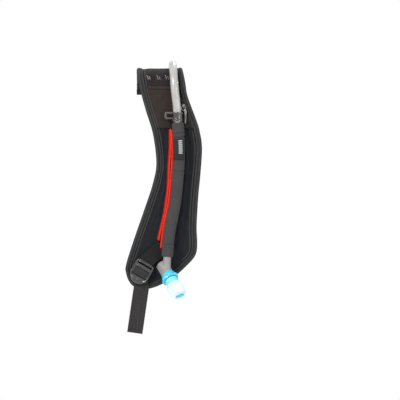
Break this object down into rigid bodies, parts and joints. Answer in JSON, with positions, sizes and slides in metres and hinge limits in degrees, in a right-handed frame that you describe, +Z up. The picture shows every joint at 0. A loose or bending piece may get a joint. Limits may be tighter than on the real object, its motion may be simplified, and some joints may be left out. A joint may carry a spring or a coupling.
{
  "type": "hydration pack shoulder strap",
  "caption": "Padded hydration pack shoulder strap with a drinking hose that docks on it by magnets, an elbow with a lockable bite valve, a zipped pocket and a ladder-lock strap adjuster.",
  "frame": {"origin": "middle of the flat sewn end of the strap, behind the shoulder bend, where the pack is sewn on", "axes": "+Z up, the strap's front (with the hose) looks along -Y, +X towards the wearer's left"},
  "size_m": [0.0996, 0.1588, 0.357],
  "materials": {
    "cover_fabric": "matt black stretch weave with a slightly blue cast",
    "air_mesh": "matt black spacer mesh with a diagonal knit",
    "binding_fabric": "matt charcoal folded binding",
    "pocket_fabric": "smooth brown-black stretch fabric",
    "sleeve_fabric": "matt charcoal woven sleeve",
    "foam": "closed-cell foam",
    "webbing": "ribbed polyester webbing",
    "red_piping": "satin red piping",
    "clear_tube": "cloudy clear flexible tube",
    "smoke_plastic": "smoky grey moulded plastic",
    "grey_elastomer": "matt grey moulded elastomer",
    "cyan_plastic": "satin cyan moulded plastic",
    "blue_translucent": "translucent blue elastomer",
    "clear_silicone": "clear silicone",
    "black_plastic": "glossy black moulded plastic",
    "gunmetal": "dark grey plated zinc",
    "magnet_steel": "plated magnet",
    "seal_rubber": "black seal",
    "reflective": "silver reflective tape"
  },
  "bodies": {
    "root": {"sewn_end_tape": "webbing", "foam_core": "foam", "back_lining": "air_mesh", "front_cover": "cover_fabric", "shoulder_mesh": "air_mesh", "edge_binding": "binding_fabric", "stretch_pocket": "pocket_fabric", "pocket_side_panel": "pocket_fabric", "pocket_hem": "webbing", "zip_tape": "webbing", "zip_coil": "black_plastic", "reflector_1": "reflective", "reflector_2": "reflective", "reflector_3": "reflective", "dock_piping": "red_piping", "strap_magnet": "magnet_steel", "hose_keeper": "smoke_plastic", "keeper_tab": "webbing", "rear_hose_loop": "webbing", "drinking_tube": "clear_tube", "quick_coupling": "grey_elastomer", "coupling_spigot": "clear_silicone", "sleeve_cuff": "sleeve_fabric", "buckle_webbing_loop": "webbing", "adjuster_webbing": "webbing", "adjuster_tail": "webbing"},
    "zip_slider": {"zip_slider": "gunmetal"},
    "zip_pull": {"zip_pull": "gunmetal"},
    "hose_1": {"hose_sleeve_1": "sleeve_fabric", "inner_tube_1": "clear_tube", "sleeve_piping_1": "red_piping", "sleeve_label": "webbing"},
    "hose_2": {"hose_sleeve_2": "sleeve_fabric", "inner_tube_2": "clear_tube", "sleeve_piping_2": "red_piping"},
    "hose_3": {"hose_sleeve_3": "sleeve_fabric", "inner_tube_3": "clear_tube", "sleeve_piping_3": "red_piping"},
    "hose_4": {"hose_sleeve_4": "sleeve_fabric", "inner_tube_4": "clear_tube", "sleeve_piping_4": "red_piping"},
    "hose_5": {"hose_sleeve_5": "sleeve_fabric", "inner_tube_5": "clear_tube", "sleeve_piping_5": "red_piping", "sleeve_magnet": "magnet_steel", "hose_barb": "grey_elastomer"},
    "elbow": {"elbow": "grey_elastomer", "valve_seal": "seal_rubber"},
    "bite_valve": {"lock_collar": "cyan_plastic", "valve_stem": "blue_translucent", "bite_bulb": "clear_silicone", "slit_disc": "cyan_plastic"},
    "buckle": {"ladder_lock_buckle": "black_plastic", "adjuster_wrap": "webbing"}
  },
  "joints": [
    {"name": "hose_bend_1", "type": "hinge", "parent": "root", "child": "hose_1", "pos_m": [0.025, -0.07455, -0.05068], "axis": [0, -1, 0], "range_deg": [0, 14], "stiffness_Nm_per_rad": 0.02, "springref_deg": -28.65},
    {"name": "hose_bend_2", "type": "hinge", "parent": "hose_1", "child": "hose_2", "pos_m": [0.02635, -0.07455, -0.08468], "axis": [0, -1, 0], "range_deg": [0, 14]},
    {"name": "hose_bend_3", "type": "hinge", "parent": "hose_2", "child": "hose_3", "pos_m": [0.02432, -0.07455, -0.11868], "axis": [0, -1, 0], "range_deg": [0, 14]},
    {"name": "hose_bend_4", "type": "hinge", "parent": "hose_3", "child": "hose_4", "pos_m": [0.02046, -0.07472, -0.15268], "axis": [0, -1, 0], "range_deg": [0, 14]},
    {"name": "hose_bend_5", "type": "hinge", "parent": "hose_4", "child": "hose_5", "pos_m": [0.01378, -0.07637, -0.18668], "axis": [0, -1, 0], "range_deg": [0, 14]},
    {"name": "elbow_swivel", "type": "hinge", "parent": "hose_5", "child": "elbow", "pos_m": [0.0099, -0.08085, -0.23698], "axis": [-0.0599, -0.0899, -0.9941], "range_deg": [-50, 110]},
    {"name": "valve_twist", "type": "hinge", "parent": "elbow", "child": "bite_valve", "pos_m": [0.0099, -0.08085, -0.23698], "axis": [0.4113, -0.6055, -0.6813], "range_deg": [0, 90]},
    {"name": "buckle_tilt", "type": "hinge", "parent": "root", "child": "buckle", "pos_m": [-0.0171, -0.06806, -0.22645], "axis": [-0.866, 0, 0.5], "range_deg": [0, 15]},
    {"name": "zip_slide", "type": "slide", "parent": "root", "child": "zip_slider", "axis": [0.2848, 0, -0.9586], "range_m": [-0.0045, 0.0225]},
    {"name": "zip_pull_swing", "type": "hinge", "parent": "zip_slider", "child": "zip_pull", "pos_m": [0.03179, -0.0694, -0.02175], "axis": [-1, 0, 0], "range_deg": [0, 150]}
  ],
  "couplings": [
    {"joint": "hose_bend_2", "follows": "hose_bend_1", "ratio": 1},
    {"joint": "hose_bend_3", "follows": "hose_bend_1", "ratio": 1},
    {"joint": "hose_bend_4", "follows": "hose_bend_1", "ratio": 1},
    {"joint": "hose_bend_5", "follows": "hose_bend_1", "ratio": 1}
  ]
}
